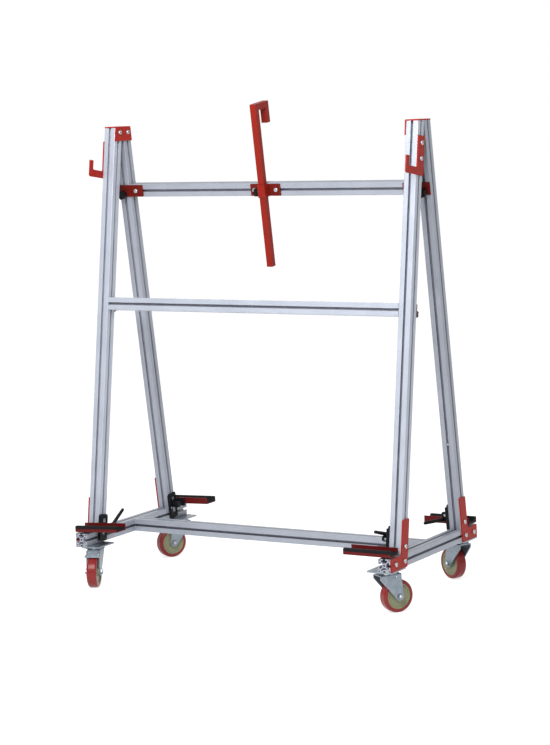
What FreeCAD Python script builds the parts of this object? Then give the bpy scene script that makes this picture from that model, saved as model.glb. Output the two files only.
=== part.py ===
"""Glazing trolley: two slotted-aluminium A-frames on side rails, joined by a
cross rail, an adjustable middle rail and an adjustable upper rail, with panel
hooks, a sliding hook pole, four clamped support arms and four swivel casters.

Millimetres, +Z up, X along the trolley, -Y the front. The origin is on the
floor under the middle of the footprint with the casters as they stand."""
import FreeCAD, Part
import math
import os

os.makedirs("parts", exist_ok=True)

# Bar section
BAR = 40.0
SLOT_MOUTH = 8.2
SLOT_LIP = 3.8
SLOT_ROOM = 20.2
SLOT_DEPTH = 13.4
WEB = 2.8
CHAMBER = 5.6
CHAMBER_WALL = 1.9
BORE = 6.8
BAR_CORNER = 2.0

# Frame
FRAME_LENGTH = 1120.0
SIDE_RAIL_LENGTH = 592.0
RAIL_UNDERSIDE = 133.0
FRAME_TOP = 1445.0
LEG_SETBACK = 68.5
APEX_GAP = 0.4
MIDDLE_RAIL_LIFT = 705.0
UPPER_RAIL_LIFT = 1065.5
END_CLEARANCE = 0.3

# Plates
PLATE = 4.0
PLATE_CORNER = 2.0
BEND_ROUND = 3.2
APEX_DROP = 42.0
APEX_BOLT_DROP = 15.0
CORNER_PLATE_RISE = 102.0
CORNER_PLATE_INSET = 4.0
CORNER_BOLT_OUT = 24.0
CORNER_BOLT_RISE = 23.0
END_PLATE_LENGTH = 91.0
END_PLATE_WIDTH = 38.0
END_PLATE_BOLT = 65.0
END_PLATE_CHAMFER = 3.0

# Panel hooks
HOOK_FOOT = 1125.0
HOOK_FOOT_WIDTH = 23.0
HOOK_REACH = 73.0
HOOK_TIP_WIDTH = 18.0
HOOK_TIP_RISE = 52.0
HOOK_STRIP = 118.0
HOOK_BOLT_LOW = 50.0
HOOK_BOLT_PITCH = 47.0
HOOK_CHAMFER = 5.0
HOOK_ROUND = 4.0

# Hook pole and its bracket
POLE_SIDE = 20.0
POLE_WALL = 2.0
POLE_STATION = -11.0
POLE_TOP_LIFT = 1357.0
POLE_BOTTOM_LIFT = 845.0
POLE_HOOK_PITCH = 61.0
POLE_HOOK_DROP = 67.0
SLEEVE_WALL = 3.0
SLEEVE_ROUND = 2.4
SLEEVE_PLAY = 0.4
SLEEVE_LENGTH = 40.0
POLE_PLATE_LENGTH = 106.0
POLE_PLATE_BOLT_PITCH = 77.0

# Fasteners
BOLT = 8.0
BOLT_FIT = 0.1
HEAD = 14.0
HEAD_HEIGHT = 5.0
HEAD_ROUND = 2.7
SOCKET = 5.0
SOCKET_DEPTH = 2.6
NUT_WIDTH = 17.0
NUT_HEIGHT = 5.5
NUT_CHAMFER = 3.3
NUT_SEAT = 0.1

# Hand knobs
KNOB = 28.0
KNOB_DROP = 10.0
KNOB_HEIGHT = 17.0
KNOB_NECK = 16.0
KNOB_NECK_HEIGHT = 7.0
KNOB_LOBES = 6
KNOB_LOBE_DEPTH = 2.4
KNOB_FLUTE_SHARE = 0.155
KNOB_NECK_SHARE = 0.36
SMALL_KNOB = 26.0
SMALL_KNOB_HEIGHT = 12.0
SMALL_KNOB_NECK_HEIGHT = 4.0
RUNNING_FIT = 0.08
TURN_GAP = 0.3

# Support arms
ARM_LENGTH = 155.0
ARM_DEPTH = 56.0
ARM_STEEL = 3.0
ARM_ROUND = 2.4
ARM_LIFT = 4.6
ARM_OVERHANG = 2.0
ARM_WALL_HEIGHT = 21.0
ARM_LIP_HEIGHT = 10.0
PAD_BED = 7.0
PAD_CREST = 19.5
PAD_LIP_WIDTH = 14.0
PAD_LIP_CHAMFER = 3.0
PAD_LIP_SLOPE = 5.0
PAD_SEAT = 0.1
PAD_GROOVE = 2.3
PAD_RIB_COUNT = 3
BRACKET_WIDTH = 46.0
BRACKET_HEIGHT = {"left": 85.0, "right": 89.0}
BRACKET_THICK = 4.0
CLAMP_SHARE = 0.55
BRACKET_FLANGE = 9.0
BRACKET_LIFT = {"left": -33.5, "right": -4.5}
BRACKET_ROUND = 8.0
WINDOW_WIDTH = 20.0
WINDOW_BORDER = 5.5
WINDOW_END = 14.0
WINDOW_BRIDGE = 24.0
WINDOW_ROUND = 3.0
CARRIER_REACH = 26.0
CARRIER_THICK = 6.0
CARRIER_ROOT = 14.0
CARRIER_DROP = 4.0

# Clamp levers
LEVER_HUB = 19.0
LEVER_HUB_LENGTH = 27.0
LEVER_HUB_ROUND = 3.0
LEVER_REACH = 70.0
LEVER_ROOT = 12.0
LEVER_TIP = 10.0
LEVER_LEVEL = 18.0
LEVER_CRANK = 14.0

# Casters
WHEEL = 100.0
TREAD_WIDTH = 32.0
TREAD_THICK = 11.0
TREAD_SHOULDER = 7.0
CASTER_INSET = 18.0
CASTER_SETBACK = 48.0
CASTER_TRAIL = 32.0
CASTER_PLATE_X = 85.0
CASTER_PLATE_Y = 94.0
CASTER_PLATE_THICK = 4.0
CASTER_HOLE_Y = 36.0
CASTER_HOLE = 9.0
RACE = 62.0
RACE_HEIGHT = 9.0
RACE_GAP = 0.4
RACE_TAPER = 3.0
PIN_HEAD = 22.0
PIN_HEAD_HEIGHT = 4.0
HINGE_PIN = 5.0
CROWN_RADIUS = 33.0
FORK_STEEL = 3.5
FORK_GAP = 37.0
CROWN_TAIL = 6.0
CROWN_SKIRT = 13.0
AXLE_EYE = 26.0
CHEEK_CLEAR = 4.0
KINGPIN = 14.0
AXLE = 10.0
AXLE_NUT = 15.0
AXLE_NUT_HEIGHT = 6.0
HUB = 26.0
CORE_RIM = 4.0
CORE_RIM_STEP = 1.5
CORE_DISH = 3.0
CORE_SLOPE = 2.0
BRAKE_STEM = 34.0
BRAKE_WIDTH = 48.0
BRAKE_STEEL = 2.5
BRAKE_LIP = 6.5
BRAKE_SHELF = 16.0
BRAKE_FALL = 10.0

SWIVEL_DEGREES = {"front_left": -67.0, "front_right": 58.0,
                  "back_left": -119.0, "back_right": 152.0}
LEVER_DEGREES = {"front_left": 60.0, "front_right": 165.0,
                 "back_left": 0.0, "back_right": 186.0}
HANDLE_RAKE = {"front_left": 24.0, "front_right": 0.0, "back_right": 38.0}
ARM_TILT = {"front_left": 3.0, "front_right": 0.0,
            "back_left": 2.0, "back_right": 0.0}
BRAKED = ("front_left", "back_left")

# The pieces are drawn about the middle of the frame and stored this far back,
# because the front casters trail out further than the back ones
FOOTPRINT_SHIFT = 18.0

# Worked out from the sizes above
HALF_BAR = BAR / 2
HALF_LENGTH = FRAME_LENGTH / 2
HALF_RAIL = SIDE_RAIL_LENGTH / 2
BAR_LINE = HALF_LENGTH - HALF_BAR
INNER_FACE = HALF_LENGTH - BAR
RAIL_TOP = RAIL_UNDERSIDE + BAR
LEG_FOOT = HALF_RAIL - LEG_SETBACK
LEG_RISE = FRAME_TOP - RAIL_TOP
LEG_RUN = LEG_FOOT - APEX_GAP / 2
LEG_LEAN = math.acos(BAR / math.hypot(LEG_RUN, LEG_RISE)) - math.atan2(LEG_RISE, LEG_RUN)
LEG_SLANT = LEG_RISE / math.cos(LEG_LEAN)
BAR_OVERRUN = BAR

UP = FreeCAD.Vector(0, 0, 1)
ALONG_X = FreeCAD.Vector(1, 0, 0)
ALONG_Y = FreeCAD.Vector(0, 1, 0)


def vec(x, y, z):
    return FreeCAD.Vector(x, y, z)


def box(x0, x1, y0, y1, z0, z1):
    return Part.makeBox(x1 - x0, y1 - y0, z1 - z0, vec(x0, y0, z0))


def rod(diameter, length, base, axis):
    return Part.makeCylinder(diameter / 2, length, base, axis)


def face_of(points):
    """Flat face from corner points; a tuple in the list is an arc, given by
    a point on it and its end."""
    edges = []
    start = points[0]
    for item in points[1:] + [points[0]]:
        if isinstance(item, tuple):
            edges.append(Part.Arc(start, item[0], item[1]).toShape())
            start = item[1]
        elif (item - start).Length > 1e-6:
            edges.append(Part.LineSegment(start, item).toShape())
            start = item
    return Part.Face(Part.Wire(edges))


def plate_yz(outline, x0, thick, corner=0.0):
    """Plate of constant thickness along X from an outline of (y, z) points."""
    face = face_of([vec(x0, y, z) for y, z in outline])
    solid = face.extrude(vec(thick, 0, 0))
    return round_edges(solid, ALONG_X, corner)


def round_edges(solid, axis, radius):
    """Round the solid's outer edges that run along one axis."""
    if radius <= 0:
        return solid
    edges = []
    for edge in solid.Edges:
        if isinstance(edge.Curve, Part.Line) and abs(edge.tangentAt(edge.FirstParameter).dot(axis)) > 0.999:
            edges.append(edge)
    return solid.makeFillet(radius, edges)


def mirror_x(shape):
    return shape.mirror(vec(0, 0, 0), ALONG_X)


def mirror_y(shape):
    return shape.mirror(vec(0, 0, 0), ALONG_Y)


def fuse(shapes):
    return shapes[0].multiFuse(shapes[1:]).removeSplitter()


def save(name, shapes):
    """One STEP file per named sub-part; a list gives a group of solids."""
    if not isinstance(shapes, list):
        shapes = [shapes]
    solids = [solid for shape in shapes for solid in shape.Solids]
    result = solids[0] if len(solids) == 1 else Part.makeCompound(solids)
    result.translate(vec(0, FOOTPRINT_SHIFT, 0))
    result.exportStep("parts/" + name + ".step")


# The leaning frame of the front legs: x is X, y is depth behind the leg's
# front face, z is the distance up the leg from its foot.
LEG_FRAME = FreeCAD.Placement(vec(0, -LEG_FOOT, RAIL_TOP),
                              FreeCAD.Rotation(ALONG_X, -math.degrees(LEG_LEAN)))


def on_front_legs(shape):
    moved = shape.copy()
    moved.Placement = LEG_FRAME.multiply(shape.Placement)
    return moved


def on_back_legs(shape):
    return mirror_y(on_front_legs(shape))


def side_of(name, shape):
    """Put a shape drawn at the front right corner at its own corner."""
    if name.startswith("back"):
        shape = mirror_y(shape)
    if name.endswith("left"):
        shape = mirror_x(shape)
    return shape


def slot_outline():
    """Half widths and depths of one slot, from its mouth to its floor."""
    floor_depth = HALF_BAR - SLOT_DEPTH
    floor_half = floor_depth - WEB * math.sqrt(0.5)
    slope_start = floor_depth + SLOT_ROOM / 2 - floor_half
    return [(SLOT_MOUTH / 2, HALF_BAR), (SLOT_MOUTH / 2, HALF_BAR - SLOT_LIP),
            (SLOT_ROOM / 2, HALF_BAR - SLOT_LIP), (SLOT_ROOM / 2, slope_start),
            (floor_half, floor_depth)]


def bar_section():
    """Square section with four T-slots, a bore and hollow corners, on XY."""
    half = slot_outline()
    left = [(-x, y) for x, y in half]
    right = [(x, y) for x, y in reversed(half)]
    inset = HALF_BAR - BAR_CORNER
    bulge = HALF_BAR - BAR_CORNER * (1 - math.sqrt(0.5))
    points = []
    for turn in range(4):
        spin = FreeCAD.Rotation(UP, -90 * turn)
        for x, y in left + right:
            points.append(spin.multVec(vec(x, y, 0)))
        points.append(spin.multVec(vec(inset, HALF_BAR, 0)))
        points.append((spin.multVec(vec(bulge, bulge, 0)), spin.multVec(vec(HALF_BAR, inset, 0))))
    hollows = [Part.Face(Part.Wire(Part.makeCircle(BORE / 2)))]
    far = HALF_BAR - CHAMBER_WALL
    near = far - CHAMBER
    for turn in range(4):
        spin = FreeCAD.Rotation(UP, -90 * turn)
        corners = [vec(near, far, 0), vec(far, far, 0), vec(far, near, 0)]
        hollows.append(face_of([spin.multVec(corner) for corner in corners]))
    return face_of(points).cut(hollows)


SECTION = bar_section()


def bar(start, direction, length):
    """Slotted bar along X, Y or Z, centred on the line from its start."""
    turns = {"x": FreeCAD.Rotation(ALONG_Y, 90), "y": FreeCAD.Rotation(ALONG_X, -90),
             "z": FreeCAD.Rotation()}
    solid = SECTION.Faces[0].extrude(vec(0, 0, length))
    solid.Placement = FreeCAD.Placement(start, turns[direction])
    return solid


def hexagon(across):
    """Corners of a hexagon with the given width across its flats."""
    reach = across / math.sqrt(3)
    corners = []
    for step in range(6):
        angle = math.radians(60 * step)
        corners.append((reach * math.cos(angle), reach * math.sin(angle)))
    return corners


def button_bolt(grip):
    """Button-head bolt along -Z: head on z = 0 and up, shank down by its grip."""
    head = Part.makeCylinder(HEAD / 2, HEAD_HEIGHT)
    head = head.makeFillet(HEAD_ROUND, [head.Edges[0]])
    socket = face_of([vec(x, y, 0) for x, y in hexagon(SOCKET)]).extrude(vec(0, 0, SOCKET_DEPTH))
    socket.translate(vec(0, 0, HEAD_HEIGHT - SOCKET_DEPTH))
    return fuse([head.cut(socket), rod(BOLT, grip, vec(0, 0, -grip), UP)])


def slot_nut():
    """Sliding nut for a bar slot, its face up at z = 0, with a plain hole."""
    body = box(-NUT_WIDTH / 2, NUT_WIDTH / 2, -NUT_WIDTH / 2, NUT_WIDTH / 2, -NUT_HEIGHT, 0)
    edges = [edge for edge in body.Edges if abs(edge.CenterOfMass.z + NUT_HEIGHT) < 0.01]
    body = body.makeChamfer(NUT_CHAMFER, edges)
    hole = rod(BOLT + 2 * BOLT_FIT, NUT_HEIGHT, vec(0, 0, -NUT_HEIGHT), UP)
    return body.cut(hole)


def bolted(point, outward, plate=PLATE):
    """Bolt and slot nut that hold a plate on a bar; point lies on the bar face."""
    depth = SLOT_LIP + NUT_SEAT + NUT_HEIGHT
    bolt = button_bolt(plate + depth)
    bolt.translate(vec(0, 0, plate))
    nut = slot_nut()
    nut.translate(vec(0, 0, -SLOT_LIP - NUT_SEAT))
    turn = FreeCAD.Rotation(UP, outward)
    pair = []
    for shape in (bolt, nut):
        shape.Placement = FreeCAD.Placement(point, turn).multiply(shape.Placement)
        pair.append(shape)
    return pair


def drilled(plate, point, axis, diameter=BOLT + 2 * BOLT_FIT):
    """Plate with a round hole along the axis, right through at the point."""
    reach = 4 * BAR
    unit = FreeCAD.Vector(axis).normalize()
    return plate.cut(rod(diameter, 2 * reach, point - unit * reach, unit))


# Frame bars
def side_rail():
    return bar(vec(BAR_LINE, -HALF_RAIL, RAIL_UNDERSIDE + HALF_BAR), "y", SIDE_RAIL_LENGTH)


def cross_rail():
    return bar(vec(-INNER_FACE, 0, RAIL_UNDERSIDE + HALF_BAR), "x", 2 * INNER_FACE)


def leg():
    """Leaning leg with both ends cut level, drawn at the front right."""
    stock = bar(vec(BAR_LINE, HALF_BAR, -BAR_OVERRUN), "z", LEG_SLANT + 2 * BAR_OVERRUN)
    room = box(0, FRAME_LENGTH, -FRAME_LENGTH, 0, RAIL_TOP, FRAME_TOP)
    return on_front_legs(stock).common(room)


def adjustable_rail(lift):
    """Rail between two legs, in the leg frame; its ends just clear them."""
    return bar(vec(-INNER_FACE + END_CLEARANCE, HALF_BAR, lift + HALF_BAR), "x",
               2 * (INNER_FACE - END_CLEARANCE))


# Plates of the frame
def apex_bolt_points():
    depth = FRAME_TOP - APEX_BOLT_DROP
    centre = (FRAME_TOP - depth) * math.tan(LEG_LEAN) + (HALF_BAR / math.cos(LEG_LEAN)) + APEX_GAP / 2
    return [vec(INNER_FACE, -centre, depth), vec(INNER_FACE, centre, depth)]


def apex_plate():
    """Folded plate over both leg tops, with a flange down the inner side."""
    half_top = BAR / math.cos(LEG_LEAN) + APEX_GAP / 2
    half_low = half_top + APEX_DROP * math.tan(LEG_LEAN)
    cap = box(INNER_FACE - PLATE, HALF_LENGTH, -half_top, half_top, FRAME_TOP, FRAME_TOP + PLATE)
    flange = plate_yz([(-half_top, FRAME_TOP + PLATE), (half_top, FRAME_TOP + PLATE),
                       (half_low, FRAME_TOP - APEX_DROP), (-half_low, FRAME_TOP - APEX_DROP)],
                      INNER_FACE - PLATE, PLATE)
    folded = fuse([cap, flange])
    bend = []
    for edge in folded.Edges:
        middle = edge.CenterOfMass
        if abs(middle.x - INNER_FACE + PLATE) < 0.01 and abs(middle.z - FRAME_TOP - PLATE) < 0.01:
            bend.append(edge)
    folded = folded.makeFillet(BEND_ROUND, bend)
    for point in apex_bolt_points():
        folded = drilled(folded, point, ALONG_X)
    return folded


def leg_face_y(height, depth=0.0):
    """Y of a line on the front leg at a height, some depth behind its face."""
    return -LEG_FOOT + (height - RAIL_TOP) * math.tan(LEG_LEAN) + depth / math.cos(LEG_LEAN)


def corner_bolt_points():
    height = RAIL_TOP + CORNER_BOLT_RISE
    middle = RAIL_UNDERSIDE + HALF_BAR
    outer = -HALF_RAIL + CORNER_PLATE_INSET + CORNER_BOLT_OUT
    return [vec(HALF_LENGTH, leg_face_y(height, HALF_BAR), height),
            vec(HALF_LENGTH, leg_face_y(middle, HALF_BAR), middle),
            vec(HALF_LENGTH, outer, middle)]


def corner_plate():
    """L-shaped plate that ties a leg's foot to its side rail."""
    top = RAIL_TOP + CORNER_PLATE_RISE
    outer = -HALF_RAIL + CORNER_PLATE_INSET
    outline = [(outer, RAIL_UNDERSIDE), (outer, RAIL_TOP), (leg_face_y(RAIL_TOP), RAIL_TOP),
               (leg_face_y(top), top), (leg_face_y(top, BAR), top),
               (leg_face_y(RAIL_UNDERSIDE, BAR), RAIL_UNDERSIDE)]
    plate = plate_yz(outline, HALF_LENGTH, PLATE, PLATE_CORNER)
    for point in corner_bolt_points():
        plate = drilled(plate, point, ALONG_X)
    return plate


def hook_bolt_points():
    low = HOOK_FOOT + HOOK_BOLT_LOW
    return [vec(HALF_LENGTH, HALF_BAR, low), vec(HALF_LENGTH, HALF_BAR, low + HOOK_BOLT_PITCH)]


def panel_hook():
    """Flat J-shaped hook, in the leg frame, outside the right leg."""
    foot_top = HOOK_FOOT + HOOK_FOOT_WIDTH
    outline = [(BAR, HOOK_FOOT), (BAR, HOOK_FOOT + HOOK_STRIP), (0, HOOK_FOOT + HOOK_STRIP),
               (0, foot_top), (-HOOK_REACH + HOOK_TIP_WIDTH, foot_top),
               (-HOOK_REACH + HOOK_TIP_WIDTH, HOOK_FOOT + HOOK_TIP_RISE),
               (-HOOK_REACH, HOOK_FOOT + HOOK_TIP_RISE), (-HOOK_REACH, HOOK_FOOT + HOOK_CHAMFER),
               (-HOOK_REACH + HOOK_CHAMFER, HOOK_FOOT)]
    plate = plate_yz(outline, HALF_LENGTH, PLATE, 0.0)
    inner = []
    for edge in plate.Edges:
        middle = edge.CenterOfMass
        if isinstance(edge.Curve, Part.Line) and abs(edge.Length - PLATE) < 0.01:
            if abs(middle.z - foot_top) < 0.01:
                inner.append(edge)
    plate = plate.makeFillet(HOOK_ROUND, inner)
    for point in hook_bolt_points():
        plate = drilled(plate, point, ALONG_X)
    return plate


# Fasteners of the fixed frame
def caster_bolt_points():
    across = BAR_LINE
    centre = -HALF_RAIL + CASTER_SETBACK
    return [vec(across, centre - CASTER_HOLE_Y, RAIL_UNDERSIDE),
            vec(across, centre + CASTER_HOLE_Y, RAIL_UNDERSIDE)]


def corner_fasteners():
    """Bolts and nuts at one corner, drawn at the front right."""
    group = []
    for point in corner_bolt_points():
        group += bolted(point, ALONG_X)
    for point in caster_bolt_points():
        group += bolted(point, vec(0, 0, -1), CASTER_PLATE_THICK)
    return group


def frame_bolts():
    group = []
    for name in SWIVEL_DEGREES:
        group += [side_of(name, shape) for shape in corner_fasteners()]
    for point in hook_bolt_points():
        pair = [on_front_legs(shape) for shape in bolted(point, ALONG_X)]
        group += pair + [mirror_x(shape) for shape in pair]
    for point in apex_bolt_points():
        pair = bolted(point, vec(-1, 0, 0))
        group += pair + [mirror_x(shape) for shape in pair]
    return group


# Adjustable rails with their end plates and knobs
def knob_point(lift):
    return vec(BAR_LINE, BAR, lift + HALF_BAR - KNOB_DROP)


def end_bolt_point(lift):
    return vec(HALF_LENGTH - END_PLATE_BOLT, BAR, lift + HALF_BAR)


def end_plate(lift):
    """Plate over a rail end and its leg, on their inner faces, right end."""
    low = lift + HALF_BAR - END_PLATE_WIDTH / 2
    plate = box(HALF_LENGTH - END_PLATE_LENGTH, HALF_LENGTH, BAR, BAR + PLATE, low, low + END_PLATE_WIDTH)
    edges = []
    for edge in plate.Edges:
        middle = edge.CenterOfMass
        if abs(middle.x - HALF_LENGTH + END_PLATE_LENGTH) < 0.01 and abs(edge.Length - PLATE) < 0.01:
            edges.append(edge)
    plate = plate.makeChamfer(END_PLATE_CHAMFER, edges)
    plate = drilled(plate, end_bolt_point(lift), ALONG_Y)
    return drilled(plate, knob_point(lift), ALONG_Y, BOLT + 2 * RUNNING_FIT)


def end_plates(lift):
    """The plates over both ends of a rail, in the leg frame."""
    plate = end_plate(lift)
    return [plate, mirror_x(plate)]


def stud_nut(nut, point, axis):
    """Slot nut with a running hole for a stud that turns in it."""
    hole = rod(BOLT + 2 * RUNNING_FIT, 2 * BAR, point - axis * BAR, axis)
    return nut.cut(hole)


def end_fasteners(lift):
    """Screws and slot nuts of both end plates, in the leg frame."""
    group = bolted(end_bolt_point(lift), ALONG_Y)
    nut = bolted(knob_point(lift), ALONG_Y)[1]
    group.append(stud_nut(nut, knob_point(lift), ALONG_Y))
    return group + [mirror_x(shape) for shape in group]


def knob(stud, diameter=KNOB, height=KNOB_HEIGHT, neck_height=KNOB_NECK_HEIGHT):
    """Lobed hand knob along +Z: its neck stands on z = 0, its stud goes down."""
    head = Part.makeCylinder(diameter / 2, height, vec(0, 0, neck_height))
    flute = diameter * KNOB_FLUTE_SHARE
    away = diameter / 2 + flute - KNOB_LOBE_DEPTH
    for step in range(KNOB_LOBES):
        angle = 2 * math.pi * step / KNOB_LOBES
        centre = vec(away * math.cos(angle), away * math.sin(angle), neck_height)
        head = head.cut(Part.makeCylinder(flute, height, centre))
    neck = Part.makeCone(KNOB_NECK / 2, diameter * KNOB_NECK_SHARE, neck_height)
    return fuse([head, neck, rod(BOLT, stud, vec(0, 0, -stud), UP)])


def rail_knob(lift):
    stud = PLATE + SLOT_LIP + NUT_SEAT + NUT_HEIGHT
    shape = knob(TURN_GAP + stud)
    base = knob_point(lift) + ALONG_Y * (PLATE + TURN_GAP)
    shape.Placement = FreeCAD.Placement(base, FreeCAD.Rotation(UP, ALONG_Y))
    return shape


# Hook pole, its bracket and its knob, in the frame of the back legs
POLE_LINE = BAR + PLATE + SLEEVE_WALL + SLEEVE_PLAY + POLE_SIDE / 2
SLEEVE_HALF = POLE_SIDE / 2 + SLEEVE_PLAY + SLEEVE_WALL
SLEEVE_MIDDLE = UPPER_RAIL_LIFT + HALF_BAR


def pole_bolt_points():
    shift = POLE_PLATE_BOLT_PITCH / 2
    return [vec(POLE_STATION - shift, BAR, SLEEVE_MIDDLE), vec(POLE_STATION + shift, BAR, SLEEVE_MIDDLE)]


def pole_knob_point():
    return vec(POLE_STATION - SLEEVE_HALF, POLE_LINE, SLEEVE_MIDDLE - SLEEVE_LENGTH / 8)


def pole_bracket():
    """Plate on the upper rail with the square sleeve welded to it."""
    low = SLEEVE_MIDDLE - END_PLATE_WIDTH / 2
    half = POLE_PLATE_LENGTH / 2
    plate = box(POLE_STATION - half, POLE_STATION + half, BAR, BAR + PLATE, low, low + END_PLATE_WIDTH)
    sleeve_low = SLEEVE_MIDDLE - SLEEVE_LENGTH / 2
    sleeve = box(POLE_STATION - SLEEVE_HALF, POLE_STATION + SLEEVE_HALF, POLE_LINE - SLEEVE_HALF,
                 POLE_LINE + SLEEVE_HALF, sleeve_low, sleeve_low + SLEEVE_LENGTH)
    sleeve = round_edges(sleeve, UP, SLEEVE_ROUND)
    bore = POLE_SIDE / 2 + SLEEVE_PLAY
    hollow = box(POLE_STATION - bore, POLE_STATION + bore, POLE_LINE - bore, POLE_LINE + bore,
                 low - BAR, low + 2 * BAR)
    body = fuse([plate, sleeve]).cut(hollow)
    for point in pole_bolt_points():
        body = drilled(body, point, ALONG_Y)
    point = pole_knob_point()
    screw_hole = rod(BOLT + 2 * RUNNING_FIT, 2 * SLEEVE_WALL, point - ALONG_X * SLEEVE_WALL / 2, ALONG_X)
    return body.cut(screw_hole)


def pole_fasteners():
    group = []
    for point in pole_bolt_points():
        group += bolted(point, ALONG_Y)
    return group


def pole_knob():
    shape = knob(SLEEVE_WALL + TURN_GAP, SMALL_KNOB, SMALL_KNOB_HEIGHT, SMALL_KNOB_NECK_HEIGHT)
    base = pole_knob_point() - ALONG_X * TURN_GAP
    shape.Placement = FreeCAD.Placement(base, FreeCAD.Rotation(UP, vec(-1, 0, 0)))
    return shape


def hook_outline(inset):
    """Inverted J of the pole in depth and lift, inset by the tube's wall."""
    near = POLE_LINE + POLE_SIDE / 2 - inset
    far = POLE_LINE - POLE_SIDE / 2 + inset
    tip_near = near - POLE_HOOK_PITCH
    tip_far = far - POLE_HOOK_PITCH
    under = POLE_TOP_LIFT - POLE_SIDE + inset
    over = POLE_TOP_LIFT - inset
    end = POLE_TOP_LIFT - POLE_HOOK_DROP - inset
    low = POLE_BOTTOM_LIFT - inset
    return [(near, low), (near, over), (tip_far, over), (tip_far, end), (tip_near, end),
            (tip_near, under), (far, under), (far, low)]


def hook_pole():
    """Square tube, mitred into a downward hook, open at both ends."""
    outer = plate_yz(hook_outline(0.0), POLE_STATION - POLE_SIDE / 2, POLE_SIDE)
    inner = plate_yz(hook_outline(POLE_WALL), POLE_STATION - POLE_SIDE / 2 + POLE_WALL,
                     POLE_SIDE - 2 * POLE_WALL)
    return outer.cut(inner)


# Support arms, drawn at the front right corner
ARM_FRONT = -HALF_RAIL - ARM_OVERHANG
ARM_BACK = ARM_FRONT + ARM_DEPTH
ARM_FLOOR = RAIL_TOP + ARM_LIFT


def side_name(name):
    return name.split("_")[1]


def bracket_span(name):
    """Lowest lift and height of a corner's clamp plate."""
    side = side_name(name)
    return BRACKET_LIFT[side], BRACKET_HEIGHT[side]


def clamp_point(name):
    """Where the clamp's stud enters the plate, in the leg frame."""
    low, height = bracket_span(name)
    return vec(INNER_FACE - BRACKET_THICK, HALF_BAR, low + height * CLAMP_SHARE)


def tilted(name, shape):
    """Arm as it is clamped: turned about its own outer end, front right."""
    result = shape.copy()
    pivot = vec(HALF_LENGTH, ARM_BACK, ARM_FLOOR)
    result.rotate(pivot, ALONG_Y, ARM_TILT[name])
    return result


def arm_outline():
    """Channel of the arm in (y, z): lip at the front, wall at the back."""
    lip = ARM_FLOOR + ARM_LIP_HEIGHT
    wall = ARM_FLOOR + ARM_WALL_HEIGHT
    sheet = ARM_FLOOR + ARM_STEEL
    return [(ARM_FRONT, ARM_FLOOR), (ARM_FRONT, lip), (ARM_FRONT + ARM_STEEL, lip),
            (ARM_FRONT + ARM_STEEL, sheet), (ARM_BACK - ARM_STEEL, sheet), (ARM_BACK - ARM_STEEL, wall),
            (ARM_BACK, wall), (ARM_BACK, ARM_FLOOR)]


def support_arm(name):
    channel = plate_yz(arm_outline(), HALF_LENGTH - ARM_LENGTH, ARM_LENGTH)
    edges = []
    for edge in channel.Edges:
        middle = edge.CenterOfMass
        if edge.Length > ARM_DEPTH and abs(middle.z - ARM_FLOOR) < 0.01:
            edges.append(edge)
    channel = channel.makeFillet(ARM_ROUND, edges)
    return tilted(name, channel)


def support_pad(name):
    """Ribbed rubber lining with a thick front edge that stands over the lip."""
    front = ARM_FRONT + ARM_STEEL
    back = ARM_BACK - ARM_STEEL
    floor = ARM_FLOOR + ARM_STEEL
    bed = floor + PAD_BED
    crest = ARM_FLOOR + PAD_CREST
    slope = front + PAD_LIP_WIDTH
    over = ARM_FLOOR + ARM_LIP_HEIGHT + PAD_SEAT
    nose = ARM_FRONT + PAD_SEAT
    outline = [(front, floor), (front, over), (nose, over), (nose, crest - PAD_LIP_CHAMFER),
               (nose + PAD_LIP_CHAMFER, crest), (slope - PAD_LIP_SLOPE, crest), (slope, bed)]
    pitch = (back - slope) / (2 * PAD_RIB_COUNT + 1)
    for step in range(PAD_RIB_COUNT):
        start = slope + pitch * (2 * step + 1)
        outline += [(start, bed), (start + PAD_GROOVE / 2, bed - PAD_GROOVE),
                    (start + pitch - PAD_GROOVE / 2, bed - PAD_GROOVE), (start + pitch, bed)]
    outline += [(back, bed), (back, floor)]
    return tilted(name, plate_yz(outline, HALF_LENGTH - ARM_LENGTH, ARM_LENGTH))


def bracket_windows(name):
    """Openings of the clamp plate above and below its stud, at the front right."""
    low, height = bracket_span(name)
    far = HALF_BAR + BRACKET_WIDTH / 2 - WINDOW_BORDER
    near = far - WINDOW_WIDTH
    middle = clamp_point(name).z
    windows = []
    for start, end in ((low + WINDOW_END, middle - WINDOW_BRIDGE / 2),
                       (middle + WINDOW_BRIDGE / 2, low + height - WINDOW_END)):
        outline = [(near, start), (far, start), (far, end), (near, end)]
        windows.append(plate_yz(outline, INNER_FACE - BRACKET_THICK, BRACKET_THICK, WINDOW_ROUND))
    return windows


def clamp_plate(name):
    """Plate with a flange along the edge towards the trolley's front."""
    low, height = bracket_span(name)
    near = HALF_BAR - BRACKET_WIDTH / 2
    far = near + BRACKET_WIDTH
    outline = [(near, low), (far, low), (far, low + height), (near, low + height)]
    seat = INNER_FACE - BRACKET_THICK
    plate = plate_yz(outline, seat, BRACKET_THICK, BRACKET_ROUND).cut(bracket_windows(name))
    flange = box(INNER_FACE - BRACKET_FLANGE, INNER_FACE, near, near + BRACKET_THICK,
                 low + BRACKET_ROUND, low + height - BRACKET_ROUND)
    plate = fuse([drilled(plate, clamp_point(name), ALONG_X, BOLT + 2 * RUNNING_FIT), flange])
    if name.startswith("back"):
        plate = plate.mirror(vec(0, HALF_BAR, 0), ALONG_Y)
    return plate


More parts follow.
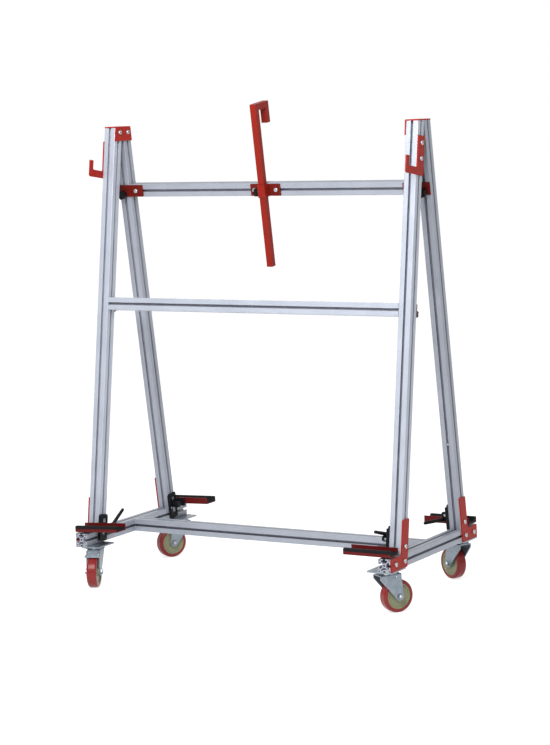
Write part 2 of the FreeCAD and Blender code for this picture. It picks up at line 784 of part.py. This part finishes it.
def support_bracket(name):
    """Clamp plate on the leg's inner face with the arm's carrier."""
    seat = INNER_FACE - BRACKET_THICK
    root = -LEG_FOOT + CARRIER_ROOT
    floor = ARM_FLOOR - CARRIER_DROP
    crest = ARM_FLOOR + ARM_WALL_HEIGHT
    front = ARM_BACK + BOLT_FIT
    tongue = box(seat, INNER_FACE - END_CLEARANCE, front, root, floor, crest)
    flange = box(seat - CARRIER_REACH, seat, front, ARM_BACK + CARRIER_THICK, floor, crest)
    return fuse([on_front_legs(clamp_plate(name)), tongue, flange])


def clamp_lever(name):
    """Clamp lever along Z: hub, stud and, except at one corner, a handle."""
    hub = rod(LEVER_HUB, LEVER_HUB_LENGTH, vec(0, 0, TURN_GAP), UP)
    crown = []
    for edge in hub.Edges:
        if isinstance(edge.Curve, Part.Circle) and edge.CenterOfMass.z > LEVER_HUB_LENGTH / 2:
            crown.append(edge)
    pieces = [hub.makeFillet(LEVER_HUB_ROUND, crown)]
    stud_length = BRACKET_THICK + SLOT_LIP + NUT_SEAT + NUT_HEIGHT + TURN_GAP
    pieces.append(rod(BOLT, stud_length, vec(0, 0, TURN_GAP - stud_length), UP))
    if name in HANDLE_RAKE:
        grip = Part.makeCone(LEVER_ROOT / 2, LEVER_TIP / 2, LEVER_REACH, vec(0, 0, 0), ALONG_X)
        tip = Part.makeSphere(LEVER_TIP / 2, vec(LEVER_REACH, 0, 0))
        elbow = Part.makeSphere(LEVER_ROOT / 2, vec(0, 0, 0))
        handle = fuse([grip, tip, elbow])
        handle.rotate(vec(0, 0, 0), ALONG_Y, -HANDLE_RAKE[name])
        handle.translate(vec(0, LEVER_CRANK, LEVER_LEVEL))
        neck = rod(LEVER_ROOT, LEVER_CRANK, vec(0, 0, LEVER_LEVEL), ALONG_Y)
        pieces += [neck, handle]
    return fuse(pieces)


def placed_lever(name):
    """Lever on its stud, pointing inward, its handle at the angle it was left at."""
    lever = clamp_lever(name)
    angle = LEVER_DEGREES[name]
    if name.startswith("back"):
        angle = 180 - angle
    inward = FreeCAD.Rotation(ALONG_Y, -90)
    swing = FreeCAD.Rotation(ALONG_X, angle - 90)
    lever.Placement = FreeCAD.Placement(LEG_FRAME.multVec(clamp_point(name)), swing.multiply(inward))
    return lever


def clamp_nut(name):
    """Slot nut that the stud draws up inside the leg."""
    point = clamp_point(name)
    nut = bolted(vec(INNER_FACE, HALF_BAR, point.z), vec(-1, 0, 0))[1]
    return on_front_legs(stud_nut(nut, point, ALONG_X))


# Casters, drawn about the swivel axis with the wheel trailing towards +X
AXLE_HEIGHT = WHEEL / 2
PLATE_UNDERSIDE = RAIL_UNDERSIDE - CASTER_PLATE_THICK
CROWN_TOP = PLATE_UNDERSIDE - RACE_HEIGHT - RACE_GAP
FORK_HALF = FORK_GAP / 2 + FORK_STEEL


def swivel_centre():
    return vec(BAR_LINE - CASTER_INSET, -HALF_RAIL + CASTER_SETBACK, 0)


def caster_plate():
    """Top plate with its upper ball race and the kingpin riveted to it."""
    half_x = CASTER_PLATE_X / 2
    half_y = CASTER_PLATE_Y / 2
    plate = box(-half_x, half_x, -half_y, half_y, PLATE_UNDERSIDE, RAIL_UNDERSIDE)
    plate = round_edges(plate, UP, PLATE_CORNER * 2)
    for side_x in (-1, 1):
        for side_y in (-1, 1):
            point = vec(side_x * CASTER_INSET, side_y * CASTER_HOLE_Y, 0)
            plate = drilled(plate, point, UP, CASTER_HOLE)
    race = Part.makeCone(RACE / 2 - RACE_TAPER, RACE / 2, RACE_HEIGHT, vec(0, 0, PLATE_UNDERSIDE),
                         vec(0, 0, -1))
    pin_length = RACE_HEIGHT + RACE_GAP + FORK_STEEL + RACE_GAP + PIN_HEAD_HEIGHT
    pin = rod(KINGPIN, pin_length, vec(0, 0, PLATE_UNDERSIDE - pin_length), UP)
    pin_head = rod(PIN_HEAD, PIN_HEAD_HEIGHT, vec(0, 0, PLATE_UNDERSIDE - pin_length), UP)
    return fuse([plate, race, pin, pin_head])


def cheek_outline():
    """Side of the fork in (x, z), from the crown down to the axle eye."""
    eye = AXLE_EYE / 2
    tail = CROWN_RADIUS + CROWN_TAIL
    lean = math.atan2(CASTER_TRAIL + CROWN_RADIUS, CROWN_TOP - AXLE_HEIGHT)
    left = vec(CASTER_TRAIL - eye * math.cos(lean), 0, AXLE_HEIGHT - eye * math.sin(lean))
    return [vec(-CROWN_RADIUS, 0, CROWN_TOP), vec(tail, 0, CROWN_TOP),
            vec(tail, 0, CROWN_TOP - CROWN_SKIRT), vec(CASTER_TRAIL + eye, 0, AXLE_HEIGHT),
            (vec(CASTER_TRAIL, 0, AXLE_HEIGHT - eye), left),
            vec(-CROWN_RADIUS, 0, CROWN_TOP - CROWN_SKIRT)]


def hinge_point():
    """Middle of the brake pedal's hinge, under the crown."""
    height = CROWN_TOP - FORK_STEEL - RACE_GAP - HINGE_PIN
    return vec(CROWN_RADIUS + CROWN_TAIL - BRAKE_SHELF, 0, height)


def caster_fork():
    """Pressed fork: rounded crown, two tapering cheeks and the axle eyes."""
    face = face_of(cheek_outline())
    cheeks = []
    for start in (FORK_GAP / 2, -FORK_HALF):
        cheek = face.extrude(vec(0, FORK_STEEL, 0))
        cheek.translate(vec(0, start, 0))
        cheeks.append(cheek)
    crown = box(-CROWN_RADIUS, CROWN_RADIUS + CROWN_TAIL, -FORK_HALF, FORK_HALF,
                CROWN_TOP - FORK_STEEL, CROWN_TOP)
    body = fuse([crown] + cheeks)
    edges = []
    for edge in body.Edges:
        middle = edge.CenterOfMass
        if isinstance(edge.Curve, Part.Line) and abs(middle.z - CROWN_TOP) < 0.01:
            if abs(abs(middle.y) - FORK_HALF) < 0.01:
                edges.append(edge)
    body = body.makeFillet(FORK_STEEL, edges)
    body = drilled(body, vec(0, 0, 0), UP, KINGPIN + 2 * RUNNING_FIT)
    body = drilled(body, vec(CASTER_TRAIL, 0, AXLE_HEIGHT), ALONG_Y, AXLE + 2 * BOLT_FIT)
    return drilled(body, hinge_point(), ALONG_Y, HINGE_PIN + 2 * RUNNING_FIT)


def caster_axle():
    """Axle bolt through the fork with its head and a nut."""
    reach = FORK_HALF + AXLE_NUT_HEIGHT
    shaft = rod(AXLE, 2 * reach, vec(CASTER_TRAIL, -reach, AXLE_HEIGHT), ALONG_Y)
    ends = []
    for start in (FORK_HALF, -FORK_HALF - AXLE_NUT_HEIGHT):
        nut = face_of([vec(x, 0, z) for x, z in hexagon(AXLE_NUT)]).extrude(vec(0, AXLE_NUT_HEIGHT, 0))
        nut.translate(vec(CASTER_TRAIL, start, AXLE_HEIGHT))
        ends.append(nut)
    return fuse([shaft] + ends)


def turned(points):
    """Solid of revolution about the wheel's own axis from (radius, y) points."""
    face = face_of([vec(radius, y, 0) for radius, y in points])
    solid = face.revolve(vec(0, 0, 0), ALONG_Y, 360)
    solid.translate(vec(CASTER_TRAIL, 0, AXLE_HEIGHT))
    return solid


def wheel_core():
    """Moulded core: hub with its bore, shallow dished disc, and a rim."""
    rim = WHEEL / 2 - TREAD_THICK
    hub_half = FORK_GAP / 2 - TURN_GAP
    rim_half = TREAD_WIDTH / 2 - CORE_RIM_STEP
    disc = rim_half - CORE_DISH
    bore = AXLE / 2 + RUNNING_FIT
    side = [(bore, hub_half), (HUB / 2, hub_half), (HUB / 2 + CORE_SLOPE, disc),
            (rim - CORE_RIM - CORE_SLOPE, disc), (rim - CORE_RIM, rim_half), (rim, rim_half)]
    other = [(radius, -y) for radius, y in reversed(side)]
    return turned(side + other)


def wheel_tread():
    """Cast tyre with a rounded section, bonded to the core's rim."""
    inner = WHEEL / 2 - TREAD_THICK
    outer = WHEEL / 2
    half = TREAD_WIDTH / 2
    shoulder = outer - TREAD_SHOULDER
    flat = half - TREAD_SHOULDER
    bulge = math.sqrt(0.5)
    face = face_of([vec(inner, -half, 0), vec(shoulder, -half, 0),
                    (vec(shoulder + TREAD_SHOULDER * bulge, -flat - TREAD_SHOULDER * bulge, 0),
                     vec(outer, -flat, 0)),
                    vec(outer, flat, 0),
                    (vec(shoulder + TREAD_SHOULDER * bulge, flat + TREAD_SHOULDER * bulge, 0),
                     vec(shoulder, half, 0)),
                    vec(inner, half, 0)])
    tyre = face.revolve(vec(0, 0, 0), ALONG_Y, 360)
    tyre.translate(vec(CASTER_TRAIL, 0, AXLE_HEIGHT))
    return tyre


def brake_pedal():
    """Pressed pedal under the crown's trailing end: stem, shelf and front lip."""
    top = CROWN_TOP - FORK_STEEL - RACE_GAP
    root = hinge_point().x
    knee = CROWN_RADIUS + CROWN_TAIL + TURN_GAP
    nose = knee + BRAKE_SHELF
    shelf = top - BRAKE_FALL
    inner = nose - BRAKE_STEEL
    outline = [(root, top), (knee, top), (knee + BRAKE_STEEL, shelf), (nose, shelf),
               (nose, shelf - BRAKE_LIP), (inner, shelf - BRAKE_LIP), (inner, shelf - BRAKE_STEEL),
               (knee, shelf - BRAKE_STEEL), (knee - BRAKE_STEEL, top - BRAKE_STEEL),
               (root, top - BRAKE_STEEL)]
    pedal = face_of([vec(x, 0, z) for x, z in outline]).extrude(vec(0, BRAKE_WIDTH, 0))
    pedal.translate(vec(0, -BRAKE_WIDTH / 2, 0))
    for side in (-1, 1):
        near = BRAKE_STEM / 2 if side > 0 else -BRAKE_WIDTH
        relief = box(root - BRAKE_SHELF, knee + BRAKE_STEEL + CHEEK_CLEAR, near,
                     near + BRAKE_WIDTH - BRAKE_STEM / 2, 0, CROWN_TOP)
        pedal = pedal.cut(relief)
    eye = hinge_point()
    barrel = rod(2 * HINGE_PIN, BRAKE_STEM, eye - ALONG_Y * (BRAKE_STEM / 2), ALONG_Y)
    bore = rod(HINGE_PIN + 2 * RUNNING_FIT, BRAKE_STEM, eye - ALONG_Y * (BRAKE_STEM / 2), ALONG_Y)
    return fuse([pedal, barrel]).cut(bore)


def hinge_pin():
    """Pin of the pedal, through the fork's cheeks under the crown."""
    eye = hinge_point()
    return rod(HINGE_PIN, 2 * FORK_HALF, eye - ALONG_Y * FORK_HALF, ALONG_Y)


def at_caster(name, shape):
    """Turn a caster piece to its heading and carry it to its corner."""
    moved = shape.copy()
    moved.rotate(vec(0, 0, 0), UP, SWIVEL_DEGREES[name])
    spot = swivel_centre()
    x = spot.x if name.endswith("right") else -spot.x
    y = spot.y if name.startswith("front") else -spot.y
    moved.translate(vec(x, y, 0))
    return moved


def build():
    for side, put in (("right", lambda shape: shape), ("left", mirror_x)):
        save("side_rail_" + side, put(side_rail()))
        save("front_leg_" + side, put(leg()))
        save("back_leg_" + side, put(mirror_y(leg())))
        save("apex_plate_" + side, put(apex_plate()))
        save("corner_plates_" + side, [put(corner_plate()), put(mirror_y(corner_plate()))])
        save("panel_hook_" + side, put(on_front_legs(panel_hook())))
        save("middle_knob_" + side, put(on_front_legs(rail_knob(MIDDLE_RAIL_LIFT))))
        save("upper_knob_" + side, put(on_back_legs(rail_knob(UPPER_RAIL_LIFT))))
    save("cross_rail", cross_rail())
    save("frame_bolts", frame_bolts())
    for rail, lift, put in (("middle_rail", MIDDLE_RAIL_LIFT, on_front_legs),
                            ("upper_rail", UPPER_RAIL_LIFT, on_back_legs)):
        save(rail, put(adjustable_rail(lift)))
        save(rail + "_plates", [put(shape) for shape in end_plates(lift)])
        save(rail + "_bolts", [put(shape) for shape in end_fasteners(lift)])
    save("pole_bracket", on_back_legs(pole_bracket()))
    save("pole_bracket_bolts", [on_back_legs(shape) for shape in pole_fasteners()])
    save("pole_knob", on_back_legs(pole_knob()))
    save("hook_pole", on_back_legs(hook_pole()))
    plates = []
    for name in SWIVEL_DEGREES:
        save("support_arm_" + name, side_of(name, support_arm(name)))
        save("support_pad_" + name, side_of(name, support_pad(name)))
        save("clamp_lever_" + name, side_of(name, placed_lever(name)))
        save("support_bracket_" + name,
             [side_of(name, shape) for shape in (support_bracket(name), clamp_nut(name))])
        fork = [caster_fork(), caster_axle()]
        if name in BRAKED:
            fork.append(hinge_pin())
            save("brake_pedal_" + name, at_caster(name, brake_pedal()))
        save("caster_fork_" + name, [at_caster(name, shape) for shape in fork])
        save("wheel_core_" + name, at_caster(name, wheel_core()))
        save("wheel_tread_" + name, at_caster(name, wheel_tread()))
        spot = swivel_centre()
        plate = caster_plate()
        plate.translate(vec(spot.x, spot.y, 0))
        plates.append(side_of(name, plate))
    save("caster_plates", plates)


build()
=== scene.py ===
"""Glazing trolley: looks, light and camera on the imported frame. Metres."""
import bpy
import bmesh
import math
from mathutils import Matrix, Vector


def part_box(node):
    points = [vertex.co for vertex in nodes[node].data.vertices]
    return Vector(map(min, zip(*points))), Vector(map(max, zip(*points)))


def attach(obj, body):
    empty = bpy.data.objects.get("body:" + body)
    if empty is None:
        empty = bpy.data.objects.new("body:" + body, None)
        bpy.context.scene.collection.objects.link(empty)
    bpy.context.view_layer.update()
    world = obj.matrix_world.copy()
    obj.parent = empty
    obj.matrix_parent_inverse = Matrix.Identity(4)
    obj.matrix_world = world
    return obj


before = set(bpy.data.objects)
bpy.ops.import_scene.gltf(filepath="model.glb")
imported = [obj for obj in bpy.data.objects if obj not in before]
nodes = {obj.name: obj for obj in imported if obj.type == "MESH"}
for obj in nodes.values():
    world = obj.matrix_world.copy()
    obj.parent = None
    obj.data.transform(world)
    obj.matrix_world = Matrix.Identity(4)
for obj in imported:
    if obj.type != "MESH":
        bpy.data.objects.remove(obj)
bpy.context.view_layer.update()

# The CAD's own sizes that the added pieces and the finishes need
SHIFT = 0.018
LEAN = math.radians(8.357589)
LEG_FOOT = 0.2275
RAIL_TOP = 0.173
BAR_LINE = 0.54
HALF_BAR = 0.02
SLOT_LIP = 0.0038
CLAMP_FACE = 0.516
CLAMP_LIFT = {"left": 0.01325, "right": 0.04445}
HUB_RADIUS = 0.0095
HUB_MIDDLE = 0.5025
SLEEVE_DEPTH = 0.024
CASTER_X = 0.522
CASTER_Y = 0.248
AXLE_END = 0.028

# The added pieces: screw on each clamp plate
SCREW_DEPTH = {"front": 0.0058, "back": 0.0342}
SCREW_DROP = 0.008
SCREW_RADIUS = 0.0042
SCREW_HEIGHT = 0.0028

# Pin and its collar on the right levers' hubs
COLLAR_SINK = 0.0012
COLLAR_RADIUS = 0.0078
COLLAR_HEIGHT = 0.0022
PIN_RISE = 0.0008
PIN_RADIUS = 0.0046
PIN_HEIGHT = 0.0012

# Nut in the front slot of the back right leg
NUT_DEPTH = 0.0372
NUT_LIFT = 0.282
NUT_RADIUS = 0.0037
NUT_HEIGHT = 0.002

# Bright ends of the axles
AXLE_RADIUS = 0.0045
AXLE_HEIGHT = 0.0016

# Discs: how many sides they have, and how much smaller their top is
DISC_SIDES = 28
DISC_TAPER = 0.72

# Finishes
CLOUD_DETAIL = 4.0
GRAIN_DETAIL = 2.0
NOISE_LOW = 0.3
NOISE_HIGH = 0.7
ROUGH_SWING = 0.08
BUMP_DEPTH = 0.0002
SLOT_MARGIN = 0.0001
END_FACING = 0.7
GRAIN_ALONG_X = (0.03, 1.0, 1.0)
GRAIN_ALONG_Y = (1.0, 0.03, 1.0)
GRAIN_ALONG_Z = (1.0, 1.0, 0.03)

# Floor and sky. The sky is brightest behind the trolley, as seen by the camera.
FLOOR_HALF = 40
FLOOR_GREY = 0.48
FLOOR_ROUGH = 0.9
FLOOR_GLOW = 0.66
SKY_FROM = -0.1
SKY_TO = 0.7
SKY_FRONT = 0.55
SKY_BACK = 1.0

# The photograph's camera, fitted to the bars
YAW = 0.530035
PITCH = 0.122536
ROLL = 0.032857
CAMERA_PLACE = (3.5783, -6.0765 + SHIFT, 1.5384)
FOCAL_PIXELS = 2266.15
IMAGE_HEIGHT = 745
SENSOR = 36.0


def tone(red, green, blue):
    return (red, green, blue, 1.0)


def mix_node(tree, factor, first, second):
    node = tree.nodes.new("ShaderNodeMix")
    node.data_type = "RGBA"
    tree.links.new(factor, node.inputs[0])
    node.inputs[6].default_value = first
    node.inputs[7].default_value = second
    return node.outputs[2]


def ramp(tree, source, low, high, dark=0.0, light=1.0):
    """Map a value between two limits to a value between dark and light."""
    node = tree.nodes.new("ShaderNodeMapRange")
    node.inputs[1].default_value = low
    node.inputs[2].default_value = high
    node.inputs[3].default_value = dark
    node.inputs[4].default_value = light
    tree.links.new(source, node.inputs[0])
    return node.outputs[0]


def noise(tree, scale, detail, stretch=(1.0, 1.0, 1.0)):
    place = tree.nodes.new("ShaderNodeTexCoord")
    mapping = tree.nodes.new("ShaderNodeMapping")
    mapping.inputs["Scale"].default_value = stretch
    texture = tree.nodes.new("ShaderNodeTexNoise")
    texture.inputs["Scale"].default_value = scale
    texture.inputs["Detail"].default_value = detail
    tree.links.new(place.outputs["Object"], mapping.inputs["Vector"])
    tree.links.new(mapping.outputs["Vector"], texture.inputs["Vector"])
    return texture.outputs["Fac"]


def bump(tree, height, strength):
    node = tree.nodes.new("ShaderNodeBump")
    node.inputs["Strength"].default_value = strength
    node.inputs["Distance"].default_value = BUMP_DEPTH
    tree.links.new(height, node.inputs["Height"])
    return node.outputs["Normal"]


def material(name, colour, other, rough, metallic=0.0, shine=0.5, grain=900.0, cloud=14.0,
             relief=0.1, stretch=(1.0, 1.0, 1.0)):
    """Two close tones in soft clouds, with a fine grain in the finish."""
    result = bpy.data.materials.new(name)
    result.use_nodes = True
    tree = result.node_tree
    shader = tree.nodes["Principled BSDF"]
    soft = ramp(tree, noise(tree, cloud, CLOUD_DETAIL), NOISE_LOW, NOISE_HIGH)
    tree.links.new(mix_node(tree, soft, colour, other), shader.inputs["Base Color"])
    fine = noise(tree, grain, GRAIN_DETAIL, stretch)
    tree.links.new(ramp(tree, fine, NOISE_LOW, NOISE_HIGH, rough - ROUGH_SWING, rough + ROUGH_SWING),
                   shader.inputs["Roughness"])
    tree.links.new(bump(tree, fine, relief), shader.inputs["Normal"])
    shader.inputs["Metallic"].default_value = metallic
    shader.inputs["Specular IOR Level"].default_value = shine
    return result


def bar_finish(name, stretch, light=1.0):
    """Anodised aluminium with its grain along the bar; a light below 1 darkens the whole finish as
    painted shade.
    """
    return material(name, tone(0.31 * light, 0.335 * light, 0.39 * light),
                    tone(0.355 * light, 0.38 * light, 0.44 * light), 0.40, metallic=0.3,
                    grain=700.0, relief=0.16, stretch=stretch)


# Painted shade: the back legs and the upper, cross and side rails get the same bar finish darkened,
# standing in for the shade that falls on them.
bar_x = bar_finish("bar_x", GRAIN_ALONG_X)
bar_z = bar_finish("bar_z", GRAIN_ALONG_Z)
painted_shade_bar_x = bar_finish("painted_shade_bar_x", GRAIN_ALONG_X, 0.76)
painted_shade_bar_y = bar_finish("painted_shade_bar_y", GRAIN_ALONG_Y, 0.76)
painted_shade_bar_z = bar_finish("painted_shade_bar_z", GRAIN_ALONG_Z, 0.74)
# Painted shade: a darker aluminium for the insides of the bars' slots.
slot_shade = material("bar_slot_shade", tone(0.27, 0.28, 0.34), tone(0.32, 0.33, 0.39), 0.5, metallic=0.3)
red = material("red_coat", tone(0.265, 0.012, 0.006), tone(0.230, 0.010, 0.005), 0.42, shine=0.10)
dark_red = material("dark_red_coat", tone(0.105, 0.006, 0.004), tone(0.085, 0.005, 0.003), 0.45,
                    shine=0.10)
pole_red = material("pole_coat", tone(0.185, 0.009, 0.004), tone(0.160, 0.008, 0.004), 0.42,
                    shine=0.12)
arm_red = material("arm_coat", tone(0.092, 0.005, 0.005), tone(0.072, 0.004, 0.004), 0.45,
                   shine=0.13)
rubber = material("pad_rubber", tone(0.005, 0.005, 0.006), tone(0.008, 0.008, 0.009), 0.7,
                  shine=0.10, grain=500.0, relief=0.3)
black = material("black_coat", tone(0.003, 0.004, 0.006), tone(0.006, 0.007, 0.009), 0.5,
                 shine=0.12)
plastic = material("black_plastic", tone(0.003, 0.003, 0.004), tone(0.006, 0.006, 0.007), 0.45,
                   shine=0.12, relief=0.25)
tread = material("tread", tone(0.170, 0.010, 0.010), tone(0.140, 0.009, 0.009), 0.28,
                 shine=0.3, relief=0.04)
core = material("core", tone(0.180, 0.182, 0.108), tone(0.155, 0.160, 0.095), 0.42,
                shine=0.3, relief=0.08)
zinc = material("zinc", tone(0.24, 0.28, 0.32), tone(0.17, 0.20, 0.235), 0.34, metallic=0.7,
                cloud=60.0)
bolt = material("bolt_steel", tone(0.48, 0.48, 0.50), tone(0.34, 0.34, 0.36), 0.3, metallic=0.8,
                cloud=120.0)

# Start of a node's name and its finish. The rails' plates come before the rails.
FINISHES = (("side_rail", painted_shade_bar_y), ("front_leg", bar_z), ("back_leg", painted_shade_bar_z),
            ("cross_rail", painted_shade_bar_x), ("apex_plate", red), ("corner_plates", red),
            ("panel_hook", red), ("middle_rail_plates", dark_red), ("upper_rail_plates", dark_red),
            ("middle_rail", bar_x), ("upper_rail", painted_shade_bar_x), ("pole_bracket", dark_red),
            ("hook_pole", pole_red), ("support_arm", arm_red), ("support_pad", rubber),
            ("support_bracket", black), ("clamp_lever", plastic), ("middle_knob", plastic),
            ("upper_knob", plastic), ("pole_knob", plastic), ("wheel_tread", tread),
            ("wheel_core", core), ("caster_fork", zinc), ("caster_plates", zinc),
            ("brake_pedal", zinc))

# How each bar leans about X
BAR_LEANS = {"cross_rail": 0.0, "side_rail_left": 0.0, "side_rail_right": 0.0,
             "middle_rail": -LEAN, "front_leg_left": -LEAN, "front_leg_right": -LEAN,
             "upper_rail": LEAN, "back_leg_left": LEAN, "back_leg_right": LEAN}


def finish_of(name):
    if name.endswith("_bolts"):
        return bolt
    for start, finish in FINISHES:
        if name.startswith(start):
            return finish
    raise KeyError(name)


def box_middle(name):
    low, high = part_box(name)
    return (Vector(low) + Vector(high)) / 2


def paint_slot_shade(name, piece):
    """Give the faces behind the lips of a bar's slots a darker finish, as painted shade in the slots.
    """
    mesh = piece.data
    middle = box_middle(name)
    straighten = Matrix.Rotation(-BAR_LEANS[name], 3, "X")
    spans = [max(abs((straighten @ (piece.matrix_world @ v.co - middle))[axis]) for v in mesh.vertices)
             for axis in range(3)]
    along = spans.index(max(spans))
    across = [axis for axis in range(3) if axis != along]
    depth = HALF_BAR - SLOT_LIP + SLOT_MARGIN
    mesh.materials.append(slot_shade)
    for face in mesh.polygons:
        centre = straighten @ (piece.matrix_world @ face.center - middle)
        facing = straighten @ (piece.matrix_world.to_3x3() @ face.normal)
        inside = max(abs(centre[axis]) for axis in across) < depth
        if inside and abs(facing[along]) < END_FACING:
            face.material_index = 1


def brighten_sleeve(piece):
    """The sleeve welded on the pole's plate has the pole's own finish."""
    piece.data.materials.append(pole_red)
    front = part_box("pole_bracket")[0][1]
    for face in piece.data.polygons:
        if (piece.matrix_world @ face.center).y < front + SLEEVE_DEPTH:
            face.material_index = 1


def dress(name, piece):
    """Put the finish of its kind on a CAD node."""
    finish = finish_of(name)
    if not piece.data.materials:
        piece.data.materials.append(finish)
    for index in range(len(piece.data.materials)):
        piece.data.materials[index] = finish
    # The bars get painted shade inside their slots.
    if name in BAR_LEANS:
        paint_slot_shade(name, piece)
    if name == "pole_bracket":
        brighten_sleeve(piece)


def leg_point(row, side, x, depth, lift):
    """A point given in the leg frame, at one of the four corners."""
    y = -LEG_FOOT + depth * math.cos(LEAN) + lift * math.sin(LEAN)
    z = RAIL_TOP + lift * math.cos(LEAN) - depth * math.sin(LEAN)
    if row == "back":
        y = -y
    if side == "left":
        x = -x
    return Vector((x, y + SHIFT, z))


def round_head(name, body, centre, axis, radius, height, finish):
    """Disc on a face, pointing along the axis, that narrows to its top."""
    mesh = bpy.data.meshes.new(name)
    shape = bmesh.new()
    bmesh.ops.create_cone(shape, cap_ends=True, segments=DISC_SIDES, radius1=radius,
                          radius2=radius * DISC_TAPER, depth=height)
    shape.to_mesh(mesh)
    shape.free()
    mesh.materials.append(finish)
    head = bpy.data.objects.new(name, mesh)
    head.matrix_world = (Matrix.Translation(centre + axis * height / 2)
                         @ axis.to_track_quat("Z", "Y").to_matrix().to_4x4())
    bpy.context.scene.collection.objects.link(head)
    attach(head, body)


def add_plate_screws():
    for row in ("front", "back"):
        for side, way in (("left", 1.0), ("right", -1.0)):
            corner = row + "_" + side
            spot = leg_point(row, side, CLAMP_FACE, SCREW_DEPTH[row], CLAMP_LIFT[side] - SCREW_DROP)
            round_head("plate_screw_" + corner, "support_" + corner, spot, Vector((way, 0.0, 0.0)),
                       SCREW_RADIUS, SCREW_HEIGHT, bolt)


def add_hub_pins():
    """The right clamp levers' hubs have a bright pin on the side that faces the front."""
    front = Vector((0.0, -1.0, 0.0))
    for row in ("front", "back"):
        body = "lever_" + row + "_right"
        hub = leg_point(row, "right", HUB_MIDDLE, HALF_BAR, CLAMP_LIFT["right"])
        round_head("hub_ring_" + row, body, hub + front * (HUB_RADIUS - COLLAR_SINK), front,
                   COLLAR_RADIUS, COLLAR_HEIGHT, plastic)
        round_head("hub_pin_" + row, body, hub + front * (HUB_RADIUS + PIN_RISE), front,
                   PIN_RADIUS, PIN_HEIGHT, bolt)


def add_slot_nut():
    """A nut shows in the front slot of the back right leg."""
    outward = Vector((0.0, -math.cos(LEAN), -math.sin(LEAN)))
    spot = leg_point("back", "right", BAR_LINE, NUT_DEPTH, NUT_LIFT)
    round_head("slot_nut_back_right", "frame", spot, outward, NUT_RADIUS, NUT_HEIGHT, bolt)


def add_axle_ends():
    """A wheel's middle and its swivel axis give the axle's direction."""
    up = Vector((0.0, 0.0, 1.0))
    for row, way in (("front", -1.0), ("back", 1.0)):
        for side, hand in (("left", -1.0), ("right", 1.0)):
            corner = row + "_" + side
            wheel = box_middle("wheel_core_" + corner)
            pivot = Vector((hand * CASTER_X, way * CASTER_Y + SHIFT, wheel.z))
            axle = (wheel - pivot).normalized().cross(up)
            for letter, end in (("a", -1.0), ("b", 1.0)):
                round_head("axle_end_" + corner + "_" + letter, "caster_" + corner,
                           wheel + axle * end * AXLE_END, axle * end, AXLE_RADIUS, AXLE_HEIGHT, bolt)


def add_floor():
    mesh = bpy.data.meshes.new("floor")
    mesh.from_pydata([(-FLOOR_HALF, -FLOOR_HALF, 0), (FLOOR_HALF, -FLOOR_HALF, 0),
                      (FLOOR_HALF, FLOOR_HALF, 0), (-FLOOR_HALF, FLOOR_HALF, 0)], [], [(0, 1, 2, 3)])
    floor = bpy.data.objects.new("floor", mesh)
    bpy.context.scene.collection.objects.link(floor)
    finish = bpy.data.materials.new("floor")
    finish.use_nodes = True
    shader = finish.node_tree.nodes["Principled BSDF"]
    shader.inputs["Base Color"].default_value = tone(FLOOR_GREY, FLOOR_GREY, FLOOR_GREY)
    shader.inputs["Roughness"].default_value = FLOOR_ROUGH
    shader.inputs["Emission Color"].default_value = tone(1.0, 1.0, 1.0)
    shader.inputs["Emission Strength"].default_value = FLOOR_GLOW
    mesh.materials.append(finish)


def add_sky():
    world = bpy.data.worlds.new("studio")
    bpy.context.scene.world = world
    world.use_nodes = True
    sky = world.node_tree
    sky.nodes["Background"].inputs[0].default_value = tone(1.0, 1.0, 1.0)
    direction = sky.nodes.new("ShaderNodeTexCoord")
    facing_back = sky.nodes.new("ShaderNodeVectorMath")
    facing_back.operation = "DOT_PRODUCT"
    facing_back.inputs[1].default_value = (-math.sin(YAW), math.cos(YAW), 0.0)
    sky.links.new(direction.outputs["Generated"], facing_back.inputs[0])
    sky.links.new(ramp(sky, facing_back.outputs["Value"], SKY_FROM, SKY_TO, SKY_FRONT, SKY_BACK),
                  sky.nodes["Background"].inputs[1])


def area_light(name, place, target, size, power):
    data = bpy.data.lights.new(name, "AREA")
    data.shape = "SQUARE"
    data.size = size
    data.energy = power
    lamp = bpy.data.objects.new(name, data)
    lamp.location = place
    lamp.rotation_euler = (Vector(target) - Vector(place)).to_track_quat("-Z", "Y").to_euler()
    bpy.context.scene.collection.objects.link(lamp)


def add_camera():
    data = bpy.data.cameras.new("camera")
    data.sensor_fit = "VERTICAL"
    data.sensor_height = SENSOR
    data.lens = FOCAL_PIXELS / IMAGE_HEIGHT * SENSOR
    camera = bpy.data.objects.new("camera", data)
    forward = Vector((-math.sin(YAW) * math.cos(PITCH), math.cos(YAW) * math.cos(PITCH),
                      -math.sin(PITCH)))
    right = Vector((math.cos(YAW), math.sin(YAW), 0.0))
    down = forward.cross(right)
    rolled_right = right * math.cos(ROLL) + down * math.sin(ROLL)
    rolled_down = down * math.cos(ROLL) - right * math.sin(ROLL)
    turn = Matrix((rolled_right, -rolled_down, -forward)).transposed()
    camera.matrix_world = Matrix.Translation(CAMERA_PLACE) @ turn.to_4x4()
    bpy.context.scene.collection.objects.link(camera)
    bpy.context.scene.camera = camera


for name, piece in nodes.items():
    dress(name, piece)
add_plate_screws()
add_hub_pins()
add_slot_nut()
add_axle_ends()
add_floor()
add_sky()
area_light("key", (0.6, -2.6, 2.9), (0, 0, 0.9), 1.8, 190.0)
area_light("side", (5.0, -1.0, 3.0), (0, 0, 0.7), 2.5, 30.0)
add_camera()
bpy.context.scene.view_settings.view_transform = "Standard"

bpy.context.view_layer.update()
